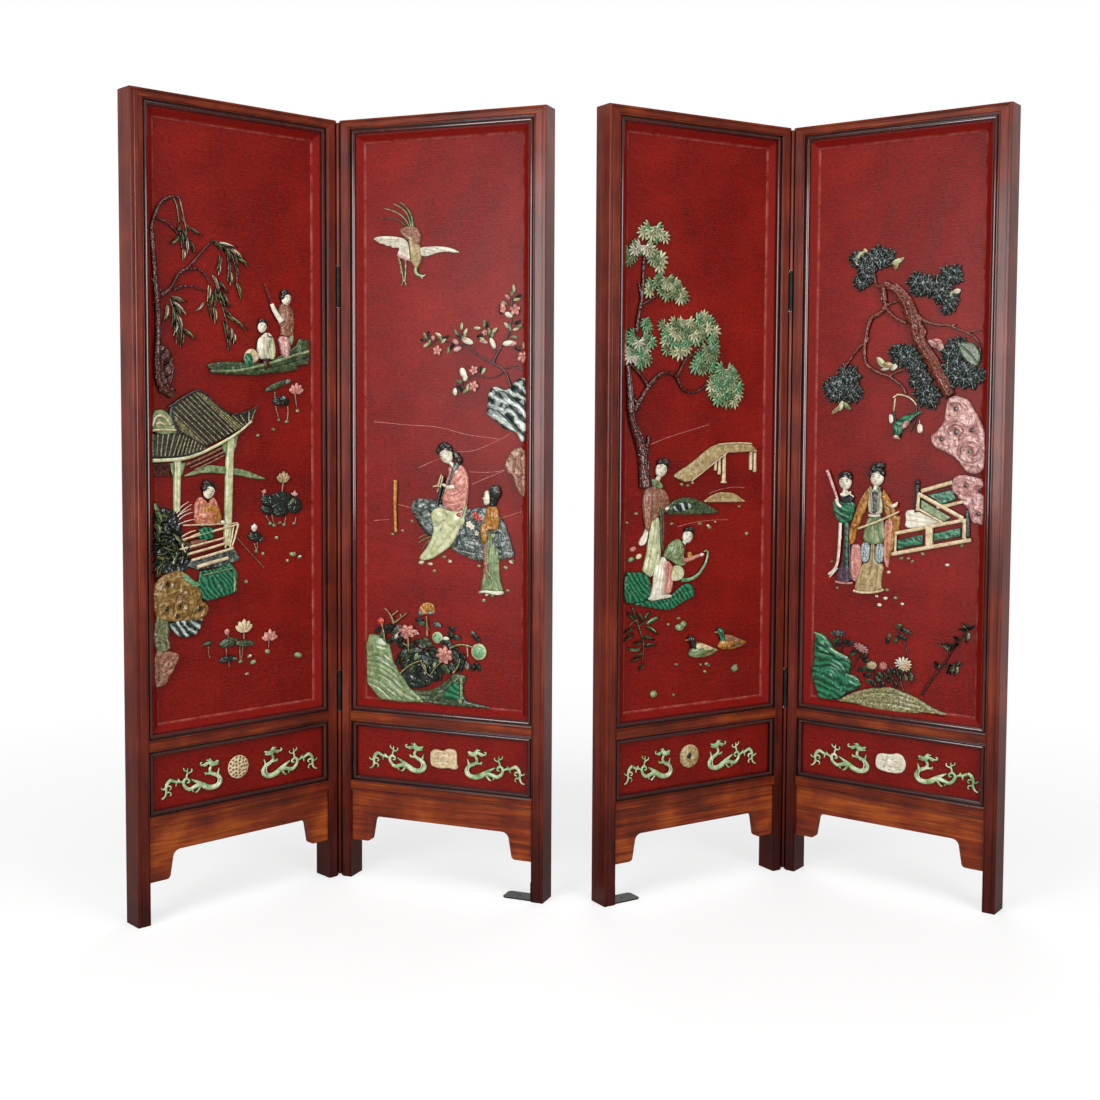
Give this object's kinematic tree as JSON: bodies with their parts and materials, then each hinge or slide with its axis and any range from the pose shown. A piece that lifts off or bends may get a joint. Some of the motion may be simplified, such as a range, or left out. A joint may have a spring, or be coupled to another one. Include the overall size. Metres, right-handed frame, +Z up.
{
  "type": "folding lacquer screen",
  "caption": "Free-standing folding lacquer screen in two hinged pairs, framed hardwood leaves with red lacquer boards and hardstone inlay.",
  "frame": {"origin": "on the floor, in the middle of the plan's bounding box", "axes": "+Z up; +X along the screen's width, to the right as seen from the front; +Y towards the back, so the inlaid faces look to -Y"},
  "size_m": [1.9874, 0.4766, 1.83],
  "materials": {
    "frame_wood": "polished dark red-brown hardwood",
    "rail_wood": "polished red-brown hardwood",
    "apron_wood": "polished orange-brown hardwood",
    "slip_wood": "polished dark hardwood",
    "red_lacquer": "deep red lacquer over cloth and board",
    "back_lacquer": "plain dark lacquer",
    "hardstone": "polished carved hardstones of several colours",
    "pale_jade": "polished pale jade",
    "iron": "blackened"
  },
  "bodies": {
    "leaf_a": {"leaf_a_outer_stile": "frame_wood", "leaf_a_inner_stile": "frame_wood", "leaf_a_top_rail": "frame_wood", "leaf_a_middle_rail": "rail_wood", "leaf_a_lower_rail": "rail_wood", "leaf_a_apron": "apron_wood", "leaf_a_bead_slips": "slip_wood", "leaf_a_picture_board": "red_lacquer", "leaf_a_lower_board": "red_lacquer", "leaf_a_back_board": "back_lacquer", "leaf_a_picture_inlay": "hardstone", "leaf_a_dragon_inlay": "pale_jade", "leaf_a_screws": "iron", "left_hinge_plates_a": "iron", "left_hinge_pins": "iron"},
    "leaf_b": {"leaf_b_outer_stile": "frame_wood", "leaf_b_inner_stile": "frame_wood", "leaf_b_top_rail": "frame_wood", "leaf_b_middle_rail": "rail_wood", "leaf_b_lower_rail": "rail_wood", "leaf_b_apron": "apron_wood", "leaf_b_bead_slips": "slip_wood", "leaf_b_picture_board": "red_lacquer", "leaf_b_lower_board": "red_lacquer", "leaf_b_back_board": "back_lacquer", "leaf_b_picture_inlay": "hardstone", "leaf_b_dragon_inlay": "pale_jade", "leaf_b_screws": "iron", "left_hinge_plates_b": "iron", "left_floor_bracket": "iron"},
    "leaf_c": {"leaf_c_outer_stile": "frame_wood", "leaf_c_inner_stile": "frame_wood", "leaf_c_top_rail": "frame_wood", "leaf_c_middle_rail": "rail_wood", "leaf_c_lower_rail": "rail_wood", "leaf_c_apron": "apron_wood", "leaf_c_bead_slips": "slip_wood", "leaf_c_picture_board": "red_lacquer", "leaf_c_lower_board": "red_lacquer", "leaf_c_back_board": "back_lacquer", "leaf_c_picture_inlay": "hardstone", "leaf_c_dragon_inlay": "pale_jade", "leaf_c_screws": "iron", "right_hinge_plates_c": "iron", "right_hinge_pins": "iron", "right_floor_bracket": "iron"},
    "leaf_d": {"leaf_d_outer_stile": "frame_wood", "leaf_d_inner_stile": "frame_wood", "leaf_d_top_rail": "frame_wood", "leaf_d_middle_rail": "rail_wood", "leaf_d_lower_rail": "rail_wood", "leaf_d_apron": "apron_wood", "leaf_d_bead_slips": "slip_wood", "leaf_d_picture_board": "red_lacquer", "leaf_d_lower_board": "red_lacquer", "leaf_d_back_board": "back_lacquer", "leaf_d_picture_inlay": "hardstone", "leaf_d_dragon_inlay": "pale_jade", "leaf_d_screws": "iron", "right_hinge_plates_d": "iron"}
  },
  "joints": [
    {"name": "left_pair_fold", "type": "hinge", "parent": "leaf_a", "child": "leaf_b", "pos_m": [-0.56693, 0.12785, 0.9], "axis": [0, 0, 1], "range_deg": [-114.8, 64.7]},
    {"name": "right_pair_set", "type": "slide", "parent": "leaf_a", "child": "leaf_c", "axis": [1, 0, 0], "range_m": [-0.08, 0.3]},
    {"name": "right_pair_fold", "type": "hinge", "parent": "leaf_c", "child": "leaf_d", "pos_m": [0.52978, 0.19135, 0.9], "axis": [0, 0, 1], "range_deg": [-111.8, 67.7]}
  ]
}
